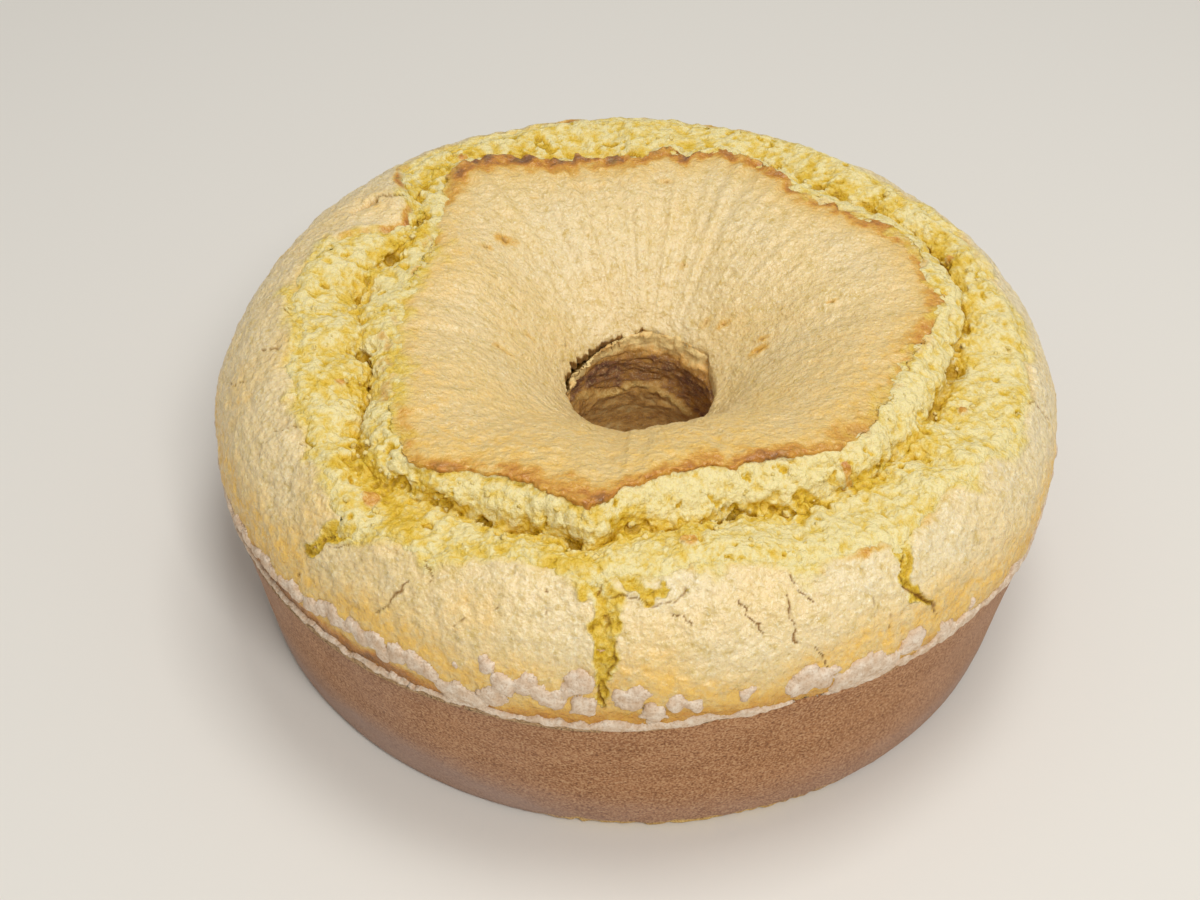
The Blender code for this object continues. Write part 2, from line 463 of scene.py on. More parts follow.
CREVICE_HEIGHT = (
    (0, 75.5), (60, 75), (125, 76), (146, 80), (165, 76), (205, 75.5), (228, 76.5), (245, 75),
    (264, 77), (290, 74), (320, 74.5),
)
# How far the crust fades into crumb at the island's edge without a step, from 0 to 1.
FADED_EDGE = (
    (0, 0.8), (22, 0.75), (46, 0.7), (58, 0.3), (128, 0.2), (140, 0.95), (208, 1), (224, 0.85),
    (231, 0.3), (272, 0.1), (298, 0.15), (312, 0.35), (330, 0.65),
)
CRUST_EDGE_RADIUS = (
    (4, 97), (12, 95), (23, 94.5), (30, 93), (40, 91), (52, 93), (62, 95), (97, 94.5), (112, 92),
    (130, 92), (138, 90), (142, 83), (145, 75), (150, 70.5), (155, 72.5), (158, 77), (162, 83),
    (175, 87), (183, 87), (190, 83), (195, 87), (204, 88.5), (213, 90), (222, 94), (230, 99),
    (237, 97), (244, 94), (260, 91), (266, 93), (272, 91), (279, 88), (288, 90), (293, 93),
    (308, 97), (320, 94), (330, 96), (341, 98), (350, 100), (357, 99),
)
# How yellow the crumb is in patches, more or less than its mean, as (degrees, share).
YELLOWNESS = (
    (60, -0.14), (130, -0.14), (150, 0.04), (196, 0.12), (212, 0.3), (234, 0.3), (248, 0.1),
    (257, 0.35), (267, 0.35), (273, 0.08), (300, -0.06), (325, -0.14), (350, -0.18),
)
# Flakes of toasted crust that fell into the tear: (degrees, mm from the axis, mm across).
FLAKES = (
    (278.8, 85.5, 4.6), (228.7, 91.5, 5.6), (310.4, 77, 3), (204, 79, 3), (126, 88, 3.4),
    (339, 86, 2.8), (20, 89, 3),
)


def dome_height(radius):
    share = np.clip((radius - DOME_CENTRE_RADIUS) / DOME_REACH, -1, 1)
    return DOME_CENTRE_HEIGHT + DOME_RISE * np.sqrt(1 - share * share)


def circle(degrees, radius=80.0):
    """Points on a level circle, so that unevenness along an outline joins up with itself."""
    angle = np.radians(degrees)
    return np.stack([radius * np.cos(angle), radius * np.sin(angle), np.zeros_like(angle)], -1)


def torn(degrees, seed, coarse=1.3):
    """The in-and-out of a torn edge, in mm."""
    spots = circle(degrees)
    return (
        coarse * swell(spots, 6, seed) + 0.7 * swell(spots, 2.6, seed + 1)
        + 0.35 * swell(spots, 1.1, seed + 2)
    )


def island_edge(degrees):
    """The radius of the island's torn edge, which is the most ragged at the back."""
    ragged = ring(((20, 1), (55, 2.4), (125, 2.4), (150, 1)), degrees)
    return ring(ISLAND_EDGE_RADIUS, degrees, 1.5) + ragged * torn(degrees, 21)


def hollows(lift, spread):
    """How far each point lies below the surface around it, in mm."""
    around = lift
    for axis in (0, 1):
        around = np.mean([np.roll(around, i, axis) for i in range(-spread, spread + 1)], axis=0)
    return around - lift


def rubble(points, size, seed):
    """Grains whose shapes are pulled about, so that they look broken and not round."""
    pulled = points + 0.45 * size * np.stack(
        [swell(points, size * 0.6, seed + i) for i in (1, 2, 3)], -1
    )
    return grains(pulled, size, seed) - 0.7


def cake_top(paint):
    """Pale gold crust that toasts to brown, torn open over cream and yellow crumb."""
    blotch = paint.noise(17, 3, 2.0)
    fleck = paint.noise(2.6, 4, 6.0)
    grain = paint.noise(0.8, 3, 9.0)
    zone = paint.noise(9, 3, 11.0)
    # The hollow mark is painted shade that darkens and yellows the colour in hollows, mixed with
    # some real yellow tone.
    deep = paint.mark("cavity")
    pale = paint.mix(blotch.over(0.35, 0.65), srgb(233, 215, 171), srgb(234, 211, 157))
    pale = paint.mix(fleck.over(0.50, 0.72) * 0.6, pale, srgb(245, 234, 202))
    pale = paint.mix(fleck.over(0.47, 0.27) * 0.8, pale, srgb(212, 180, 96))
    # Whitish specks on the finest grain: painted glints.
    pale = paint.mix(grain.over(0.55, 0.72) * 0.55, pale, srgb(252, 246, 218))
    pale = paint.mix(grain.over(0.45, 0.28) * 0.45, pale, srgb(202, 166, 84))
    gold = (paint.mark("gold") * (0.9 + (fleck - 0.5) * 3.0) + (fleck - 0.5) * 0.5).clamp()
    crust = paint.mix(gold * 0.9, pale, srgb(240, 192, 86))
    # Painted shade: the crust is darker in its hollows.
    crust = paint.mix((deep - 0.2).clamp() * 0.9, crust, srgb(200, 161, 60))
    speckle = (fleck - 0.5) * 0.6 + (grain - 0.5) * 0.4
    baked = (paint.mark("toast") + speckle * paint.mark("toast").over(0.02, 0.3)).clamp()
    brown = paint.ramp(
        baked,
        (0.0, (228, 192, 108)), (0.35, (217, 164, 66)), (0.6, (197, 132, 44)),
        (0.8, (172, 114, 48)), (1.0, (128, 86, 50)),
    )
    crust = paint.mix(baked.over(0.0, 0.28), crust, brown)
    # Open crumb runs from pale on its lumps to deep yellow where the hollow mark paints shade.
    open_crumb = paint.ramp(
        (deep + (grain - 0.5) * 0.6 + (fleck - 0.5) * 0.75 + (zone - 0.5) * 0.5).clamp(),
        (0.0, (238, 221, 158)), (0.2, (232, 207, 122)), (0.42, (228, 194, 78)),
        (0.7, (222, 182, 34)), (1.0, (190, 149, 6)),
    )
    crumby = (paint.mark("crumb") * 1.5 + (fleck - 0.5) * 0.9 - 0.25).clamp()
    colour = paint.mix(crumby, crust, open_crumb)
    # Painted shade: dark brown in the crevice, the splits, the pits and the crack under the
    # island's lip.
    colour = paint.mix(paint.mark("dark"), colour, srgb(140, 92, 10))
    roughness = 0.24 + 0.22 * crumby + 0.16 * fleck + 0.4 * paint.mark("dark")
    height = paint.noise(2.0, 2, 4.0) * 1.4 + grain * (0.6 + 0.5 * crumby) + crumby * fleck * 0.9
    return colour, roughness, height, 0.6


def top_finish(name, glow=0.3):
    """The glossy top, with a little light passing through its skin."""
    return finish_of(name, cake_top, {
        "Specular IOR Level": 0.65, "Subsurface Weight": glow,
        "Subsurface Radius": (1.0, 0.9, 0.5), "Subsurface Scale": 1.6 * MM,
    })


degrees = columns(CRUMB_COLUMNS)
edge_radius = island_edge(degrees)
edge_height = ring(ISLAND_EDGE_HEIGHT, degrees)
faded = ring(FADED_EDGE, degrees)
crevice_raggedness = torn(degrees, 31, 2.2)
crevice_radius = ring(CREVICE_RADIUS, degrees, 1.5) + crevice_raggedness
crevice_radius = np.maximum(crevice_radius, edge_radius + 0.6)
line = circle(degrees)
bridged = ring(((0, 0), (200, 0), (220, 1.6), (320, 1.6), (340, 0)), degrees) * swell(line, 3, 38)
crevice_height = ring(CREVICE_HEIGHT, degrees) + 2.8 * swell(line, 6, 36) + bridged
crust_radius = ring(CRUST_EDGE_RADIUS, degrees, 1.5) + torn(degrees, 41)
crust_height = dome_height(crust_radius) - 0.7
turn = pi / 2 * np.arange(SLOPE_ROWS) / SLOPE_ROWS
inward, fall = np.sin(turn) ** 1.15, np.cos(turn) ** 0.85
slope = (
    crust_radius[:, None] + np.multiply.outer(crevice_radius - crust_radius, inward),
    crevice_height[:, None] + np.multiply.outer(crust_height - crevice_height, fall),
)
brink = edge_radius - BRINK_INSET, edge_height - 0.9 + 0.6 * faded
wall_radius, wall_height = run((crevice_radius, crevice_height), brink, WALL_ROWS)
upward = np.linspace(0, 1, WALL_ROWS, endpoint=False)
downward = 1 - upward
wall_radius = wall_radius + WALL_BULGE * np.sin(pi * upward ** 1.3)
# The raggedness of the edge and of the crevice fades away from them, so the wall has no ribs.
edge_raggedness = edge_radius - ring(ISLAND_EDGE_RADIUS, degrees, 1.5)
wall_radius -= np.multiply.outer(edge_raggedness, upward - upward ** 4)
wall_radius -= np.multiply.outer(crevice_raggedness, downward - downward ** 3)
wall_height -= np.multiply.outer(bridged, downward - downward ** 4)
under_crust = crust_radius + 3.5, dome_height(crust_radius + 3.5) - 1.3
shelf = edge_radius - 4, edge_height - 2.6 + 2.1 * faded
hidden = crust_radius + 6, crust_height - 8
parts = (
    *runs(hidden, 3, under_crust, 5, (crust_radius, crust_height)),
    slope,
    (wall_radius, wall_height),
    *runs(
        brink, 6, shelf, 3, (edge_radius - 7, edge_height - 4.5), 4,
        (edge_radius - 6, crevice_height - 8), 4, hidden,
    ),
)
skin = rounded(skin_of(degrees, parts), 5)
rim_rows, slope_rows, wall_rows, shelf_rows = rows_of(parts)[1:5]
slopes = slice(slope_rows.start, wall_rows.stop)
shown = level(skin)
shown[:, rim_rows.start:shelf_rows.stop] = 1
shown[:, shelf_rows] = faded[:, None]
from_crevice = level(skin, FAR)
from_crevice[:, slopes] = np.linalg.norm(
    skin[:, slopes] - skin[:, wall_rows.start:wall_rows.start + 1], axis=-1
)
from_edge = level(skin, FAR)
top_rows = slice(wall_rows.start, shelf_rows.stop)
from_edge[:, top_rows] = np.linalg.norm(
    skin[:, top_rows] - skin[:, shelf_rows.start:shelf_rows.start + 1], axis=-1
)
wandering = from_crevice + 2 * swell(skin, 8, 47)
near_crevice = ease(wandering, 9, 2)
on_wall = level(skin)
on_wall[:, wall_rows] = 1
lumps = (
    (0.5 + 0.6 * near_crevice + 0.6 * on_wall) * rubble(skin, 6.0, 51)
    + (0.65 + 0.3 * near_crevice) * rubble(skin, 3.2, 52)
    + 0.7 * rubble(skin, 1.6, 53) + 0.9 * swell(skin, 11, 54) + 0.4 * swell(skin, 2.2, 55)
)
broken = swell(skin, 4.0, 56) + 0.5 * swell(skin, 1.8, 45) + 0.35 * swell(skin, 1.0, 44)
holes = ease(broken, 0.7, 1.0)
pockets = ease(broken, -0.1, 0.5) * ease(wandering, 5, 1)
gape = ease(swell(line, 14, 57), -0.5, 0.4)[:, None]
opened = ring(((0, 1), (196, 1), (212, 0.3), (330, 0.3), (350, 1)), degrees)[:, None]
cut = np.exp(-(from_crevice / 1.6) ** 2) * (1.3 * gape * opened - 0.5)
flaked = level(skin)
for angle, reach, across in FLAKES:
    middle = reach * np.cos(radians(angle)), reach * np.sin(radians(angle))
    away = np.linalg.norm(skin[..., :2] - middle, axis=-1) + 0.6 * swell(skin, 1.6, 29)
    flaked = np.maximum(flaked, ease(away, across / 2, across / 3) * shown)
lift = shown * (lumps - 1.0 * holes - 0.8 * pockets - cut + 0.8 * flaked)
deep = hollows(lift, 5)
shaded = ring(((330, 0), (350, 0.1), (120, 0.1), (150, 0)), degrees)[:, None]
# Painted shade: the crumb is darker and yellower in its hollows, holes and pockets, towards the
# crevice and round the back (shaded). The swells and the yellowness add real tone.
cavity = 0.10 + shaded + 0.28 * ease(from_crevice + 2 * swell(skin, 6, 47), 8, 1)
cavity += 0.4 * deep + 0.4 * hollows(lift, 2)
cavity += 0.20 * ease(from_crevice, 2.2, 0.4) + 0.4 * holes + 0.3 * pockets
cavity += 0.2 * swell(skin, 3.5, 48)
yellow = ring(YELLOWNESS, degrees)[:, None]
cavity += yellow * ease(swell(skin, 7, 50) + 0.4 * swell(skin, 2.5, 37), -0.3, 0.4)
# Painted light: the wall of the tear is made paler to make up for the shade on its steep face.
cavity -= 0.18 * on_wall * ease(from_crevice, 1, 5)
patchy = ease(swell(skin, 4, 43) + 0.4 * swell(skin, 1.6, 42), 0.0, 0.7)
crusty = faded[:, None] * ease(from_edge, 5, 0.5) * patchy
marks = {
    "crumb": (1 - 0.85 * crusty) * (1 - 0.9 * flaked),
    "cavity": cavity,
    "toast": np.maximum(
        crusty * (0.25 + 0.2 * swell(skin, 2.5, 41)), flaked * (0.42 + 0.3 * swell(skin, 1.2, 26))
    ),
    "gold": 0.5 * crusty,
    # Painted shade at the bottom of the open crevice.
    "dark": ease(from_crevice, 1.3, 0.3) * gape * opened * 0.25,
}
crumb_skin = raised(skin, lift)
crumb_rows = slopes
crumb = shell("torn_crumb", crumb_skin, marks, top_finish("open_maize_crumb"))
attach(crumb, "root")


# The outer crust: the risen ring outside the tear, which bulges out over the pan's rim.
# It is a thin, pale skin with fine blisters, golden towards the rim. It split from the tear
# downwards as it rose, and the widest splits show crumb.

CRUST_COLUMNS = 970
DOME_ROWS = 82
LOW_ROWS = 10
CRUST_ARC = 30.5
SHOULDER = DOME_CENTRE_HEIGHT - RIM_HEIGHT
MM_PER_DEGREE = RIM_RADIUS * pi / 180

# Shades round the crust, as (degrees, share).
BROWNED_EDGE = (
    (225, 0.1), (240, 0.2), (262, 0.15), (272, 0.7), (280, 0.2), (288, 0.65), (296, 0.7),
    (303, 0.8), (310, 0.3), (330, 0.15), (0, 0.1), (30, 0.2), (70, 0.55), (100, 0.6), (140, 0.9),
    (158, 0.7), (170, 0.3), (185, 0.5), (200, 0.1),
)
STRIP = ((205, 0), (216, 1), (243, 1), (252, 0.7), (290, 0.5), (300, 0.6), (312, 0.2))
BROWN_STRIP = ((205, 0), (216, 1), (238, 1), (248, 0))
GILDING = ((0, 0.8), (180, 0.8), (210, 1.1), (320, 1.1))
WARMTH = ((120, 0), (150, 0.18), (205, 0.2), (248, 0.2), (262, 0.06), (290, 0), (320, 0.05))
# Splits: width at the start, width at the end and depth in mm, how much painted shade darkens
# their middle, and the path as (degrees, mm of crust above the rim). The first ones are wide
# and full of crumb.
SPLITS = (
    (12, 3.2, 0.9, 0, (
        (265.6, 45), (265.9, 38), (266.6, 34), (266.5, 30), (267.6, 25), (267.7, 19), (266.9, 14),
        (267.2, 9)
    )),
    (6.5, 2.6, 0.8, 0, ((232, 38), (229.5, 31.5), (227, 27), (225, 21.5))),
    (6, 2.4, 0.8, 0, ((308.6, 36), (307.6, 30), (306.8, 26), (308, 21.5), (310, 17))),
    (4.5, 2, 0.6, 0, ((270, 41), (272, 36), (277.5, 36.5))),
    (1.2, 2, 1.8, 0.7, ((265.5, 41), (266.2, 38), (265.9, 35))),
    (2.4, 1.4, 1.8, 0.6, ((266.9, 31), (267.7, 28.5), (267.3, 26))),
    (1.2, 2.2, 1.8, 0.6, ((268.7, 24.5), (268.4, 20), (267.4, 16.5))),
    (1.4, 2, 2, 0.9, ((266.5, 13.5), (266.6, 10.8), (267.4, 8))),
    (1.8, 1.4, 1.3, 0.7, (
        (266.8, 34.5), (269, 35.4), (271.3, 34.8), (273.9, 33.9), (276.1, 34.2), (277.2, 36.8)
    )),
    (1.2, 0.8, 1.3, 0.9, ((275, 31.4), (276.7, 30.8), (277.8, 28.2))),
    (1.3, 1, 1.5, 0.7, ((231.4, 34), (228.8, 30.4), (226.8, 26.6), (225, 21))),
    (1, 0.8, 1.2, 0.7, ((231, 29), (229, 26), (227.6, 25.6))),
    (1.8, 1.2, 1.5, 0.9, ((224.6, 14.6), (224, 13))),
    (1.4, 1, 1.4, 0.8, ((308.2, 32.5), (306.8, 29.5), (306.2, 24.5))),
    (2.8, 1.2, 2, 1, ((306.4, 24.3), (308.4, 20.6), (310.1, 17))),
    (1.4, 0.8, 1.4, 0.9, ((310.1, 17), (310.9, 12.4), (310.6, 8.7))),
    (1.6, 1.1, 1.5, 1, ((291.4, 36.4), (292.4, 32.9), (293.2, 29))),
    (0.9, 1.3, 1.4, 1, ((290.3, 32), (290.1, 27.2), (290.6, 21))),
    (0.9, 1.1, 1.3, 1, ((284.4, 33), (284.9, 30.3), (286, 27.4), (286.7, 25.6))),
    (1.2, 0.8, 1.3, 1, ((293.1, 18.9), (293.7, 15.2), (294.4, 12.2))),
    (0.8, 0.7, 1, 0.5, ((302.1, 27), (301.6, 23.7), (301, 21))),
    (0.8, 0.7, 1, 0.5, ((303.6, 21), (303.2, 16))),
    (1.9, 0.9, 1.5, 0.9, ((240.9, 27.4), (239.8, 22.8), (238.4, 18))),
    (0.8, 1.3, 1.2, 0.8, ((242.1, 34), (244, 31), (243.9, 29.2))),
    (1.9, 1.7, 1.4, 0.9, ((259.3, 35.1), (259.5, 34.9))),
    (0.8, 1.2, 1.2, 0.9, ((254.1, 29.8), (253.4, 28.2))),
    (1.1, 0.8, 1.1, 0.7, ((249.5, 24.3), (248.9, 22.4))),
    (0.8, 0.7, 1, 0.6, ((259.8, 31.5), (259.5, 28.5))),
    (7.5, 4.5, 9, 1, ((152.4, 46.8), (150, 48.4), (148.4, 49.2))),
    (2.6, 1.6, 2.4, 0.9, ((151.6, 47.8), (149.5, 48.6), (147.6, 49.6), (146, 53.5), (142.6, 57))),
    (1.3, 0.9, 1.2, 0.7, ((171, 51), (176, 49), (180.5, 50))),
    (1.3, 1.3, 1.3, 0.8, ((181.5, 46), (183, 44), (184.6, 47.5))),
    (1.3, 1.3, 1.3, 0.8, ((190.5, 38.5), (191.6, 41), (192.4, 44))),
    (1.1, 1.1, 1, 0.7, ((192, 26), (195.4, 32))),
    (1.3, 1.2, 1.1, 0.7, ((208, 35), (209, 38), (211, 41))),
    (1, 1, 0.9, 0.7, ((213, 38), (215, 41))),
    (1.3, 1.1, 1.2, 0.8, ((336, 38), (338.5, 35), (341, 32))),
    (1.3, 1.2, 1.2, 0.8, ((346, 32.5), (347.4, 28), (347.2, 25), (348, 22))),
    (1.4, 1.2, 1.1, 0.7, ((60, 30), (62, 26), (61, 20))),
    (2, 1.4, 1.5, 0.8, ((104, 36), (103, 30), (105, 24), (104, 16))),
    (1.2, 1, 1, 0.7, ((151, 30), (153, 26))),
    (1.2, 1, 1, 0.7, ((20, 28), (22, 22), (21, 17))),
)


def dome_at(turned):
    """Section points of the dome at these angles up from its centre's height."""
    return (
        DOME_CENTRE_RADIUS + DOME_REACH * np.cos(turned),
        DOME_CENTRE_HEIGHT + DOME_RISE * np.sin(turned),
    )


def off_path(path, across, climb):
    """How far points lie from a path over the crust in mm, and where along it from 0 to 1."""
    nearest = np.full(across.shape, 99.0)
    along = np.zeros(across.shape)
    legs = len(path) - 1
    for i, ((x0, y0), (x1, y1)) in enumerate(zip(path, path[1:])):
        start = np.array((x0 * MM_PER_DEGREE, y0))
        leg = np.array((x1 * MM_PER_DEGREE, y1)) - start
        gone = ((across - start[0]) * leg[0] + (climb - start[1]) * leg[1]) / (leg @ leg)
        gone = np.clip(gone, 0, 1)
        distance = np.hypot(across - start[0] - gone * leg[0], climb - start[1] - gone * leg[1])
        along = np.where(distance < nearest, (i + gone) / legs, along)
        nearest = np.minimum(nearest, distance)
    return nearest, along


degrees = columns(CRUST_COLUMNS)
crust_radius = ring(CRUST_EDGE_RADIUS, degrees, 1.5) + torn(degrees, 41)
reach = np.arccos((crust_radius - DOME_CENTRE_RADIUS) / DOME_REACH)
turned = np.multiply.outer(reach, np.arange(DOME_ROWS) / DOME_ROWS)
crust_height = dome_height(crust_radius)
rim_height = RIM_HEIGHT + ring(RIM_RISE, degrees, 6)
parts = (
    run((RIM_RADIUS - 0.8, rim_height), (RIM_RADIUS, DOME_CENTRE_HEIGHT), LOW_ROWS),
    dome_at(turned),
    *runs(
        (crust_radius, crust_height), 2, (crust_radius - 0.8, crust_height - 0.6), 2,
        (crust_radius + 1.5, crust_height - 2.2), 4, (103, 56), 2, (RIM_RADIUS - 7, RIM_HEIGHT + 3),
    ),
)
skin = rounded(skin_of(degrees, parts), 1)
low, domed, lip = rows_of(parts)[:3]
climb = level(skin)
climb[:, low] = parts[0][1] - RIM_HEIGHT
climb[:, domed] = SHOULDER + CRUST_ARC * turned
climb[:, domed.stop:] = (SHOULDER + CRUST_ARC * reach)[:, None]
shown = level(skin)
shown[:, :lip.stop] = 1
to_edge = (SHOULDER + CRUST_ARC * reach)[:, None] - climb
wobble = 0.9 * swell(skin, 3.0, 61) + 0.5 * swell(skin, 1.4, 62)
sway = 0.9 * swell(skin, 3.2, 63) + 0.5 * swell(skin, 1.4, 64)
frayed = 1.5 * swell(skin, 4.5, 40) + 0.9 * swell(skin, 2.0, 49)
across = np.degrees(np.arctan2(skin[..., 1], skin[..., 0])) % 360 * RIM_RADIUS * pi / 180 + wobble
uneven = 1.0 + 0.4 * swell(skin, 3.0, 60)
split, inside, painted_split_shade = level(skin), level(skin), level(skin)
for start_width, end_width, depth, core_shade, path in SPLITS:
    gap, along = off_path(path, across, climb + sway)
    half = (start_width + (end_width - start_width) * along) * uneven / (2.8 if core_shade else 2.3)
    # Thin splits get painted shade down their middle, while wide ones open onto crumb.
    if core_shade:
        split += 0.3 * depth * ease(gap / half, 0.9, 0.2)
        painted_split_shade = np.maximum(painted_split_shade, core_shade * ease(gap / half, 0.6, 0.15))
    else:
        split += depth * ease((gap + frayed) / half, 1.0, 0.3)
        inside = np.maximum(inside, ease((gap + frayed) / half, 1.25, 0.65))
blisters = 0.65 * rubble(skin, 3, 65) + 0.3 * rubble(skin, 1.5, 66) + 0.4 * swell(skin, 4.2, 67)
crumbly = ease(to_edge + 4.0 * swell(skin, 5, 68), 11, 0)
lift = 0.8 * swell(skin, 24, 69) + 0.45 * swell(skin, 9, 70) + blisters
lift += crumbly * (0.7 * rubble(skin, 3.2, 52) + 0.6 * rubble(skin, 1.6, 53))
lift += inside * (1.5 * rubble(skin, 2.6, 71) + 0.7 * rubble(skin, 1.3, 39) - 0.1)
lift = lift * shown * ease(climb, -1, 4) - split
skin[..., 2] -= 1.8 * ease(to_edge, 5, 0)
deep = hollows(lift, 3)
browned, strip, brown_strip, gilding, warmth = (
    ring(knots, degrees)[:, None] for knots in (BROWNED_EDGE, STRIP, BROWN_STRIP, GILDING, WARMTH)
)
above_rim = climb + RIM_HEIGHT - rim_height[:, None]
strip = strip * ease(above_rim + 2 * swell(skin, 6, 77), 9, 3)
torn_open = 0.95 * ease(to_edge + 5 * swell(skin, 7, 72) + 2 * swell(skin, 2.4, 28), 8, 0)
marks = {
    "crumb": np.maximum(torn_open, inside),
    # Painted shade in the crust's hollows and inside the wide splits, on top of its warm tinge.
    "cavity": (
        0.12 + 0.5 * warmth + 0.55 * deep
        + inside * (0.4 + 0.35 * swell(skin, 3, 38)) + 0.03 * crumbly
    ),
    "toast": np.maximum(
        browned * ease(to_edge + 1.6 * swell(skin, 3, 73), 5, 2)
        * ease(swell(skin, 8, 74), -0.5, 0.3),
        (0.5 + 0.25 * brown_strip) * strip + 0.15 * ease(above_rim + 3 * swell(skin, 9, 36), 9, 2),
    ),
    "gold": (
        gilding * ease(climb + 5 * swell(skin, 11, 75), 26, 6)
        + 0.25 * ease(swell(skin, 13, 76), 0.1, 0.8) + warmth
    ),
    "dark": painted_split_shade,
}
outer = shell("outer_crust", raised(skin, lift), marks, top_finish("pale_blistered_crust"))
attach(outer, "root")


# The island: the smooth crust round the hole, which sank like a funnel as the cake cooled.
# It is a glossy skin about 3 mm thick that broke away at its edge, where it toasted brown.

ISLAND_COLUMNS = 780
LIP_RADIUS = 19.8
LIP_HEIGHT = 55.0
FUNNEL_ROWS = 108
# The toasted edge, as (degrees, mm or share).
TOAST_WIDTH = (
    (0, 5.5), (20, 6.5), (50, 6.5), (62, 5), (90, 5.5), (120, 6), (150, 6), (190, 6), (215, 5.5),
    (235, 5), (256, 4.6), (260, 8), (265, 8), (269, 5), (290, 4.8), (315, 5.5), (340, 5.5),
)
TOAST_DEPTH = (
    (0, 0.5), (20, 0.62), (32, 0.66), (46, 0.6), (58, 0.62), (66, 0.68), (76, 0.62), (84, 0.85),
    (90, 0.68), (98, 0.7), (110, 0.85), (122, 0.85), (130, 0.7), (145, 0.3), (165, 0.22),
    (190, 0.2), (212, 0.25), (226, 0.5), (238, 0.5), (247, 0.56), (256, 0.46), (260, 0.6),
    (265, 0.6), (270, 0.42), (282, 0.52), (288, 0.44), (295, 0.56), (303, 0.5), (312, 0.6),
    (322, 0.56), (334, 0.46),
)
GLOW = (
    (0, 0.16), (60, 0.16), (90, 0.12), (130, 0.12), (150, 0.07), (250, 0.07), (300, 0.1),
    (330, 0.14),
)
GILDED_EDGE = (
    (0, 0.12), (40, 0.12), (60, 0), (130, 0), (150, 0.12), (205, 0.12), (240, 0.28), (300, 0.28),
    (340, 0.12),
)
OPENING = ((330, 9), (350, 3), (60, 3), (128, 9))
# Small pits: (degrees, mm from the axis, mm across, mm deep).
PITS = (
    (138, 50, 2.2, 1.3), (146, 50.5, 1.4, 0.8), (9, 31, 1.8, 1), (14, 33, 1.2, 0.8),
    (39, 28, 1.4, 0.8), (13, 51, 1, 1), (171, 30, 1.2, 0.6), (190, 37, 1.5, 0.8),
    (192, 35, 1, 0.6), (50, 26, 1.2, 0.6), (84, 61, 1.5, 0.6), (73, 37, 1, 0.6),
    (250, 61, 0.9, 0.5), (60, 45, 0.8, 0.4), (105, 33, 0.8, 0.4), (22, 40, 0.8, 0.4),
    (330, 52, 0.8, 0.4), (300, 48, 0.7, 0.4), (215, 50, 0.8, 0.4), (120, 60, 0.9, 0.5),
)

degrees = columns(ISLAND_COLUMNS)
edge_radius = island_edge(degrees)
line = circle(degrees)
jagged = ring(((45, 0), (60, 0.9), (128, 0.9), (142, 0)), degrees)
edge_height = ring(ISLAND_EDGE_HEIGHT, degrees) + 0.4 * swell(line, 7, 81)
edge_height += jagged * swell(line, 3.2, 82)
faded = ring(FADED_EDGE, degrees)[:, None]
tear_radius = ring(HOLE_TEAR_RADIUS, degrees)
tear_noise = 0.6 * torn(degrees, 83) * np.minimum(ring(HOLE_TEAR_GAP, degrees), 1)
behind = ring(((20, 0), (38, 1), (188, 1), (204, 0), (270, 0)), degrees)
lip_radius = LIP_RADIUS + (tear_radius + tear_noise - LIP_RADIUS) * behind
steep = ring(((0, 2.3), (90, 2.4), (180, 2.3), (240, 2.1), (270, 2.0), (300, 2.1)), degrees)
share = 1 - np.arange(FUNNEL_ROWS) / FUNNEL_ROWS
funnel_radius = lip_radius[:, None] + np.multiply.outer(edge_radius - lip_radius, share)


def funnel_height(radius, edge_radius, edge_height, steep):
    """The funnel's height at a radius: it climbs steeply from the lip and levels out."""
    reached = np.clip((radius - LIP_RADIUS) / (edge_radius - LIP_RADIUS), 0, 1)
    return LIP_HEIGHT + (edge_height - LIP_HEIGHT) * (1 - (1 - reached) ** steep)


lip_height = funnel_height(lip_radius, edge_radius, edge_height, steep)
edge = edge_radius[:, None], edge_height[:, None]
foot_radius = lip_radius + 0.4 * behind
foot_height = lip_height - 3 - 2 * (1 - behind)
under_edge = edge_radius - 1.0, edge_height - 3.0
parts = (
    *runs(under_edge, 4, (edge_radius + 0.1, edge_height - 1.2), 3, (edge_radius, edge_height)),
    (funnel_radius, funnel_height(funnel_radius, *edge, steep[:, None])),
    *runs(
        (lip_radius, lip_height), 5, (foot_radius, foot_height), 2,
        (foot_radius + 3, foot_height - 0.5), 3, (edge_radius - 8, edge_height - 5), 2, under_edge,
    ),
)
skin = rounded(skin_of(degrees, parts), 1)
funnel_rows, lip_rows = rows_of(parts)[2:4]
to_edge = level(skin)
to_edge[:, funnel_rows] = edge_radius[:, None] - funnel_radius
to_edge[:, funnel_rows.stop:] = 40
shown = level(skin)
shown[:, :lip_rows.stop] = 1
flow = skin * (0.8, 1.15, 1.0)
lift = 0.5 * swell(skin, 21, 84) + 0.28 * swell(skin, 8, 85) + 0.25 * swell(flow, 3, 86)
lift += 0.32 * rubble(flow, 2.2, 87) + 0.16 * rubble(flow, 1.2, 88)
rim = ease(to_edge + 1.2 * swell(skin, 5, 89), 3.5, 0.3)
lift += rim * (1 - faded) * 0.25 + rim * (0.6 * rubble(skin, 2.2, 90) + 0.5 * rubble(skin, 1.1, 91))
lift -= 1.1 * faded * ease(to_edge + 2 * swell(skin, 5, 35), 6, 0)
back_edge = ring(((40, 0), (62, 1), (132, 1), (146, 0)), degrees)[:, None]
knobs = 1.3 * rubble(skin, 3.6, 92) + 0.7 * rubble(skin, 1.6, 33)
lift += ease(to_edge + 3 * swell(skin, 5, 34), 7, 1) * back_edge * knobs
pitted, halo, under_lip = level(skin), level(skin), level(skin)
ragged = skin + 0.5 * np.stack([swell(skin, 1.5, seed) for seed in (93, 94, 95)], -1)
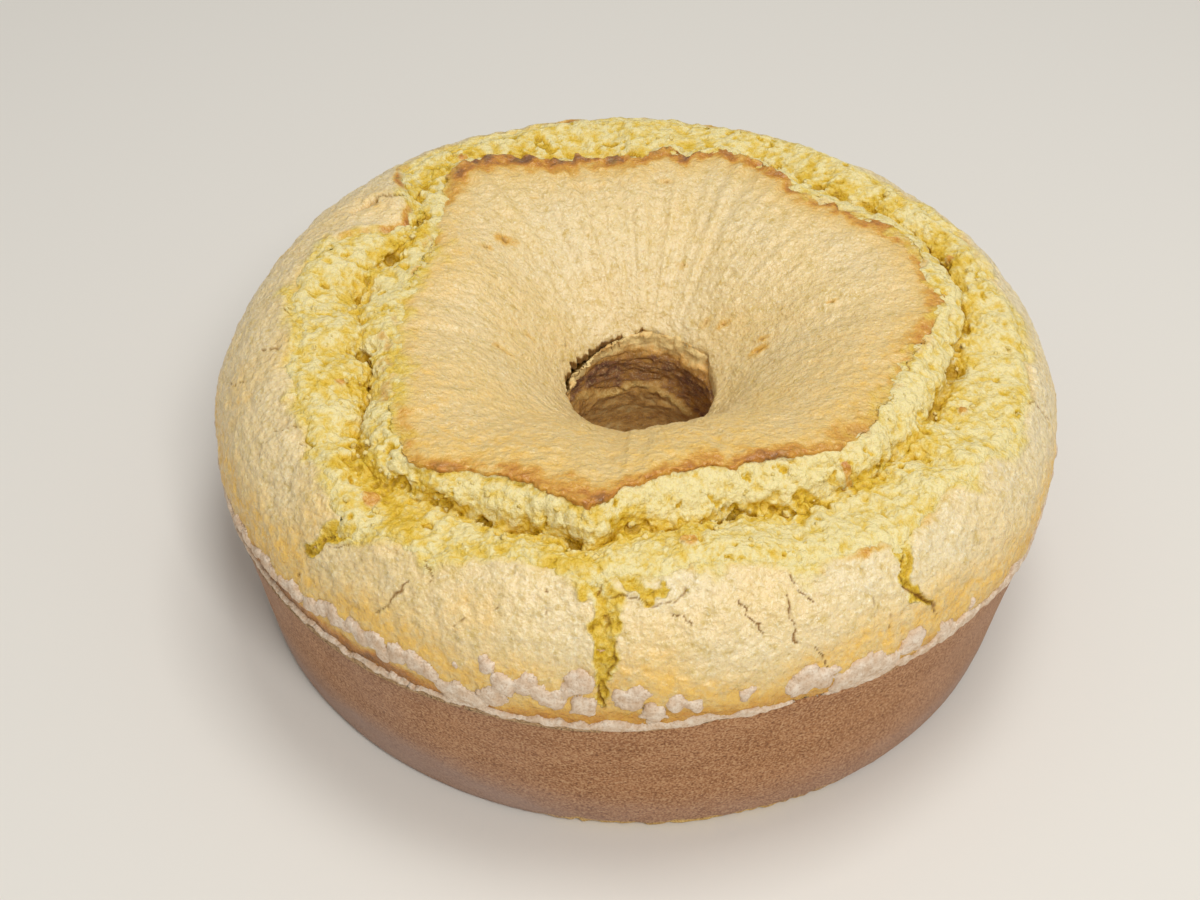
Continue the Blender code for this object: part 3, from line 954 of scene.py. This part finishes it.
for angle, reach, across, depth in PITS:
    middle = shift_at(reach) + reach * np.cos(radians(angle)), reach * np.sin(radians(angle))
    away = np.linalg.norm((ragged[..., :2] - middle) * (0.7, 1.2), axis=-1)
    pitted = np.maximum(pitted, depth * ease(away, across / 2, across / 8) * shown)
    halo = np.maximum(halo, ease(away, across * 1.6, across / 2) * min(1, depth) * shown)
lift = lift * shown - pitted
toast_width, toast_depth, glow, gilded, opening = (
    ring(knots, degrees)[:, None]
    for knots in (TOAST_WIDTH, TOAST_DEPTH, GLOW, GILDED_EDGE, OPENING)
)
toast_width = toast_width * (1 + 0.5 * swell(skin, 7, 96))
toast_depth = toast_depth * (1 + 0.4 * swell(skin, 4, 97) + 0.5 * swell(skin, 2.0, 79))
inland = np.maximum(to_edge + 1.2 * swell(skin, 2.6, 27), 0)
toasted = toast_depth * np.exp(-(inland / toast_width) ** 2.4)
toasted = np.maximum(toasted, glow * ease(inland + 3 * swell(skin, 7, 46), 13, 3))
deep = hollows(lift, 3)
gaping = behind * ease(ring(HOLE_TEAR_GAP, degrees), -0.2, 0.5)
under_lip[:, lip_rows.start + 1:lip_rows.stop + 2] = gaping[:, None]
frayed = to_edge + 5 * swell(skin, 4.5, 32) + 2 * swell(skin, 1.6, 31)
marks = {
    "crumb": 0.9 * faded * ease(frayed, opening, 0),
    # Painted shade in the island's hollows. The toast is also a little deeper in the hollows by its
    # edge, as painted shade.
    "cavity": 0.36 + 0.6 * deep,
    "toast": toasted + 0.15 * deep * rim + 0.28 * halo * (halo > 0.3),
    "gold": (
        0.08 + gilded
        + 0.2 * ease(swell(skin, 24, 98) + 0.25, 0.0, 0.9) + 0.25 * ease(to_edge, 20, 3)
    ),
    # Painted shade in the pits and in the crack under the lip.
    "dark": np.maximum(ease(pitted, 0.3, 0.8) * 0.75, under_lip * 0.9),
}
island = shell("island_crust", raised(skin, lift), marks, top_finish("smooth_funnel_crust"))
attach(island, "root")


# The rim of flour: batter that ran thin over the pan's floured rim and dried there.
# It clings to the foot of the dome as a chalky, lobed frill, with golden crust in its gaps.

RIM_COLUMNS = 1500
RIM_ROWS = 52
LINE_ROWS = 20
# How far up the dome the frill can reach, in radians.
FRILL_REACH = 0.52
# Thickness of the line along the rim, as (degrees, mm more or less than its mean).
LINE_THICKNESS = (
    (204, 0), (212, -0.5), (240, -0.5), (248, 0), (289, 0), (291, -1.2), (295, -1.2), (297, 0),
    (302, 0.4), (335, 0.4), (345, 0),
)
# Lumps on the side with the long crack: (degrees, mm of crust above the rim, mm across).
LUMPS = (
    (202, 5, 3.2), (204.5, 6, 3.8), (206.5, 4.6, 3.6), (208.5, 6, 4.4), (211, 6, 4.8), (213, 5, 4),
    (214.6, 6.6, 4.6), (217, 7, 5.2), (219, 6, 4.8), (221.5, 7, 5), (224, 8, 5.4), (227, 8, 5.4),
    (229, 9.6, 5), (231, 9.4, 5.6), (233, 9, 5), (234.5, 10.4, 5), (236, 8.6, 5), (238, 10, 6),
    (239.5, 7, 5), (241.5, 10, 6.4), (243.8, 10.5, 6), (245.8, 8.3, 5.6), (247.3, 5.5, 5),
    (248.6, 4, 6.4), (250.2, 4.8, 7.6), (252, 3.4, 5.6), (254.2, 6.8, 6), (255.5, 11.6, 6),
    (258, 12.2, 6), (259.8, 10.8, 4.6), (261.3, 9.4, 6), (264.2, 14.8, 6.6), (264.8, 7.4, 6.6),
    (262.8, 12.4, 4), (253.1, 15.3, 5), (249.5, 13.5, 2), (270.1, 10.6, 6.8), (271.5, 13, 5),
    (273.2, 6.6, 6.4), (276, 9.7, 5.2), (278.2, 8.8, 4.6), (284.2, 10.4, 4.2), (290.2, 8.8, 5.4),
    (291.8, 10.4, 7.2), (293.6, 9.6, 6.4), (295.4, 11, 3.2), (297, 6.4, 7.4), (299.2, 8, 8.2),
    (301.4, 7.6, 7.8), (303, 6.4, 6), (305.8, 8.4, 5), (307.2, 9.6, 6.4), (317.5, 8.6, 2.6),
)
# The other lumps are strewn by chance over this span of degrees.
LUMP_COUNT = 150
LUMPS_FROM = 312
LUMPS_SPAN = 252


def chalky(paint):
    """Dry flour paste, off-white with a warm tinge, and browner where it is thin."""
    lump = paint.noise(2.2, 4, 12.0)
    grain = paint.noise(0.6, 3, 14.0)
    colour = paint.mix(lump.over(0.35, 0.68), srgb(216, 188, 158), srgb(239, 222, 200))
    colour = paint.mix(grain.over(0.50, 0.34) * 0.5, colour, srgb(190, 152, 114))
    colour = paint.mix(paint.mark("thin"), colour, srgb(208, 162, 104))
    return colour, 0.82 + 0.1 * grain, grain + lump * 0.5, 0.34


degrees = columns(RIM_COLUMNS)
turned = np.linspace(0, FRILL_REACH, RIM_ROWS - LINE_ROWS, endpoint=False)[None, :]
top_radius, top_height = dome_at(FRILL_REACH)
rim_height = RIM_HEIGHT + ring(RIM_RISE, degrees, 6)
foot = RIM_RADIUS - 0.9, rim_height - 1.0
parts = (
    run(foot, (RIM_RADIUS, DOME_CENTRE_HEIGHT), LINE_ROWS),
    dome_at(turned),
    *runs(
        (top_radius, top_height), 2, (top_radius - 7, top_height - 3), 3,
        (RIM_RADIUS - 8, RIM_HEIGHT + 4), 2, foot,
    ),
)
skin = rounded(skin_of(degrees, parts), 1)
shown = level(skin)
shown[:, :RIM_ROWS] = 1
climb = level(skin, 60.0)
climb[:, :LINE_ROWS] = parts[0][1] - RIM_HEIGHT
climb[:, LINE_ROWS:RIM_ROWS] = SHOULDER + CRUST_ARC * turned
climb += 1.0 * swell(skin, 2.4, 101) + 0.5 * swell(skin, 1.1, 102)
across = degrees[:, None] * MM_PER_DEGREE
across = across + 1.0 * swell(skin, 2.6, 103) + 0.5 * swell(skin, 1.1, 104)
above_rim = climb + RIM_HEIGHT - rim_height[:, None]
thick_line = 1.3 + 0.6 * swell(circle(degrees, RIM_RADIUS), 6, 107)
thick_line = np.maximum(thick_line + ring(LINE_THICKNESS, degrees, 1), 0.05)
caked = np.sqrt(np.clip(1 - (np.abs(above_rim - 0.9) / thick_line[:, None]) ** 2, 0, 1)) * 0.9
chance = np.random.default_rng(5)
lumps = list(LUMPS)
for turn in chance.random(LUMP_COUNT):
    angle = (LUMPS_FROM + LUMPS_SPAN * turn) % 360
    lumps.append((angle, 1.5 + 7 * chance.random() ** 1.6, 1.6 + 4.4 * chance.random() ** 1.5))
for angle, place, size in lumps:
    near = np.abs((degrees - angle + 180) % 360 - 180) < 5
    aside = (across[near] / MM_PER_DEGREE - angle + 180) % 360 - 180
    away = np.hypot(aside, (climb[near] - place) / MM_PER_DEGREE) * MM_PER_DEGREE
    cap = np.clip(1 - (away / (size * 0.53)) ** 2, 0, 1) ** 0.4 * min(1.1, 0.5 + size / 9)
    caked[near] = np.maximum(caked[near], cap)
knobs = 0.35 * rubble(skin, 2.4, 110) + 0.3 * rubble(skin, 1.1, 111)
rise = 0.8 * swell(skin, 24, 69) + 0.45 * swell(skin, 9, 70) - 0.45
lift = rise * ease(climb, -1, 4) - 1.3 + ease(caked, 0.0, 0.25) * 1.3 + caked * (1.4 + knobs)
lift = shown * (lift - 3.0 * ease(caked, 0.02, 0.0))
# The line pushes out level, so that its thin sides can't slip past one another.
facing = outward(skin)
facing[:, :LINE_ROWS, 2] = 0
marks = {"thin": 0.7 * ease(caked, 0.3, 0.1)}
paste = finish_of("dried_flour_paste", chalky, {"Specular IOR Level": 0.2})
rim_flour = shell("rim_flour", skin + facing * lift[..., None], marks, paste)
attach(rim_flour, "root")


# Loose crumbs: bits of maize crumb that broke off as the top tore and stayed lying in the tear.
# Each is a small ball pushed out of shape, squashed and turned at random, all in one mesh.

CRUMB_COUNT = 200
CRUMB_SMALLEST = 0.3
CRUMB_LARGEST = 0.9

bpy.ops.object.select_all(action="DESELECT")
bpy.ops.mesh.primitive_uv_sphere_add(segments=8, ring_count=6, radius=1.0)
bit = bpy.context.object
ball = np.array([vertex.co for vertex in bit.data.vertices])
faces = [tuple(face.vertices) for face in bit.data.polygons]
bpy.ops.object.delete()

chance = np.random.default_rng(7)
picked_columns = chance.integers(0, crumb_skin.shape[0], CRUMB_COUNT)
picked_rows = chance.integers(crumb_rows.start + 2, crumb_rows.stop - 2, CRUMB_COUNT)
sizes = CRUMB_SMALLEST + (CRUMB_LARGEST - CRUMB_SMALLEST) * chance.random(CRUMB_COUNT) ** 2.2
points = []
all_faces = []
for column, row, size in zip(picked_columns, picked_rows, sizes):
    turn = Matrix.Rotation(chance.random() * 2 * pi, 3, Vector(chance.normal(size=3)))
    squash = 0.7 + 0.6 * chance.random(3)
    knobbed = ball * (1 + 0.2 * chance.normal(size=(len(ball), 1)).clip(-1.5, 1.5))
    shaped = (knobbed * squash) @ np.array(turn) * size
    first = len(points) * len(ball)
    points.append(shaped + crumb_skin[column, row])
    all_faces += [tuple(corner + first for corner in face) for face in faces]
loose_mesh = bpy.data.meshes.new("loose_crumbs")
loose_mesh.from_pydata((np.concatenate(points) * MM).tolist(), [], all_faces)
loose = bpy.data.objects.new("loose_crumbs", loose_mesh)
bpy.context.scene.collection.objects.link(loose)
marks = {"crumb": 1.0, "cavity": 0.15, "toast": 0.0, "gold": 0.0, "dark": 0.0}
for mark, amount in marks.items():
    layer = loose_mesh.attributes.new(mark, "FLOAT", "POINT")
    layer.data.foreach_set("value", [amount] * len(loose_mesh.vertices))
loose_mesh.shade_smooth()
loose_mesh.materials.append(top_finish("loose_maize_crumb", 0.0))
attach(loose, "root")


# The stage: a pale floor, a soft panel overhead with a second one in front, and the camera,
# which looks down on the side with the long crack.

bpy.ops.object.select_all(action="DESELECT")
bpy.ops.mesh.primitive_plane_add(size=8)
floor = bpy.context.object
floor.name = "floor"
floor_material = bpy.data.materials.new("pale_floor")
floor_material.use_nodes = True
floor_shader = floor_material.node_tree.nodes["Principled BSDF"]
floor_shader.inputs["Base Color"].default_value = srgb(226, 222, 214)
floor_shader.inputs["Roughness"].default_value = 0.9
floor.data.materials.append(floor_material)

scene = bpy.context.scene
scene.world = bpy.data.worlds.new("soft_room")
scene.world.use_nodes = True
background = scene.world.node_tree.nodes["Background"].inputs
background["Color"].default_value = (1.0, 0.98, 0.95, 1.0)
background["Strength"].default_value = 0.42

LIGHTS = (
    ("ceiling_panel", (0.12, 0.05, 1.1), (0.0, 0.0, 0.06), 0.4, 3.9),
    ("front_key", (0.3, -0.83, 1.02), (0.0, 0.0, 0.05), 0.3, 7.0),
)
for name, place, target, size, power in LIGHTS:
    bpy.ops.object.light_add(type="AREA", location=place)
    lamp = bpy.context.object
    lamp.name = name
    lamp.data.size = size
    lamp.data.energy = power
    lamp.rotation_euler = (Vector(target) - Vector(place)).to_track_quat("-Z", "Y").to_euler()

CAMERA_PLACE = Vector((0.0, -0.39085, 0.38075))
CAMERA_AIM = Vector((-0.00917, -0.00036, 0.0326))
CAMERA_ROLL = radians(0.68)
bpy.ops.object.camera_add(location=CAMERA_PLACE)
camera = bpy.context.object
facing = (CAMERA_AIM - CAMERA_PLACE).to_track_quat("-Z", "Y").to_matrix()
camera.rotation_euler = (facing @ Matrix.Rotation(CAMERA_ROLL, 3, "Z")).to_euler()
camera.data.lens = 57.45
camera.data.sensor_width = 36.0
scene.camera = camera
scene.view_settings.view_transform = "Standard"
